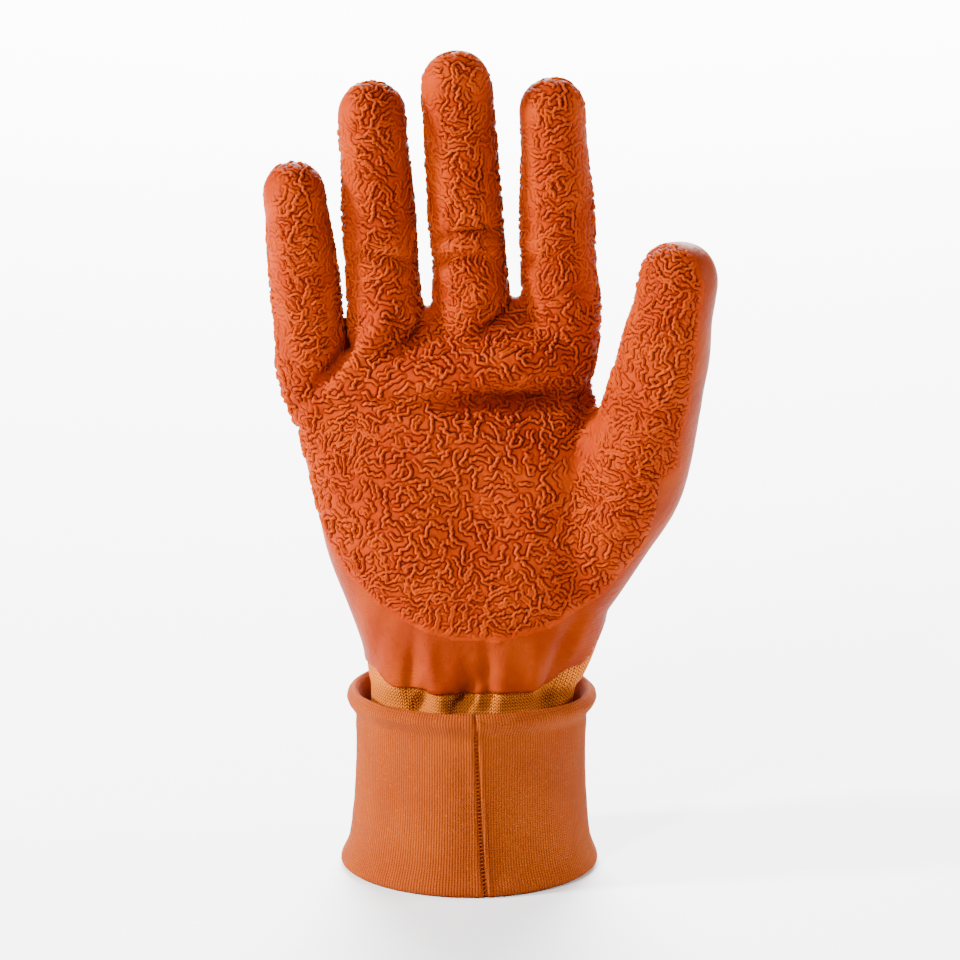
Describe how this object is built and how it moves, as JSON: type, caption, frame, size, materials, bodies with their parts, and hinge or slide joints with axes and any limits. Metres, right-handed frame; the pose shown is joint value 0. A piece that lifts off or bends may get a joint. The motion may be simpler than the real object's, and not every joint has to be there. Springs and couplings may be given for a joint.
{
  "type": "latex coated grip glove",
  "caption": "Right-hand work glove standing on its cuff: knitted liner, smooth latex coat, crinkled latex grip over the palm and fingers, and a wide jersey cuff.",
  "frame": {"origin": "on the floor, under the middle of the glove's bounding box", "axes": "+Z from the cuff to the fingertips, -Y out of the palm, +X towards the thumb"},
  "size_m": [0.1516, 0.08, 0.2843],
  "materials": {
    "knit": "light orange rib knit",
    "smooth_latex": "smooth orange latex, faintly glossy",
    "crinkle_latex": "crinkled orange latex, satin",
    "jersey": "orange cotton jersey",
    "jersey_edge": "orange cotton jersey, raised seam"
  },
  "bodies": {
    "root": {"knit_liner": "knit", "latex_coat": "smooth_latex", "grip_coat": "crinkle_latex", "cuff": "jersey", "cuff_seam": "jersey_edge"}
  },
  "joints": []
}
